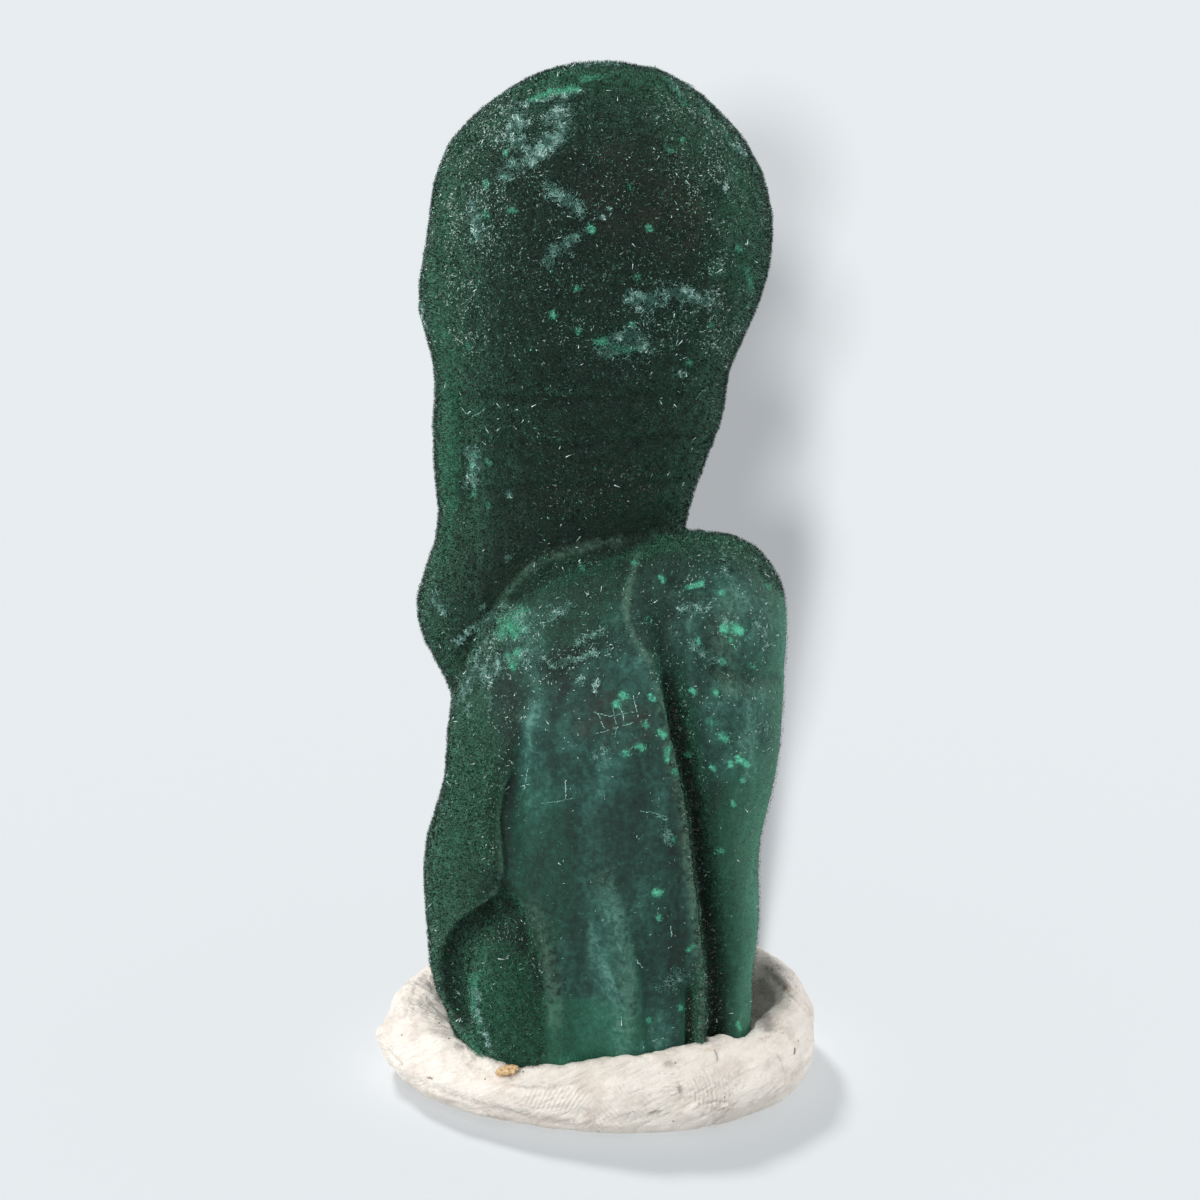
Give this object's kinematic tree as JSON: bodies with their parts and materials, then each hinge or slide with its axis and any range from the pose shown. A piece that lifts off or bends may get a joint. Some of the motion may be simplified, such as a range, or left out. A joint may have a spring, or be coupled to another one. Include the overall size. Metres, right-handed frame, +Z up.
{
  "type": "malachite specimen",
  "caption": "Upright growth of velvety dark green malachite with a rounded head, its foot pressed into a kneaded ring of off-white putty that rests flat.",
  "frame": {"origin": "middle of the putty's flat foot, on the surface that it stands on", "axes": "+Z up along the specimen, +Y to the back, +X to the right as seen from the front"},
  "size_m": [0.0479, 0.0436, 0.1113],
  "materials": {
    "malachite": "velvety, matt with fine glints",
    "putty": "matt, kneaded by hand",
    "chip": "matt"
  },
  "bodies": {
    "root": {"malachite": "malachite", "putty": "putty", "chip": "chip"}
  },
  "joints": []
}
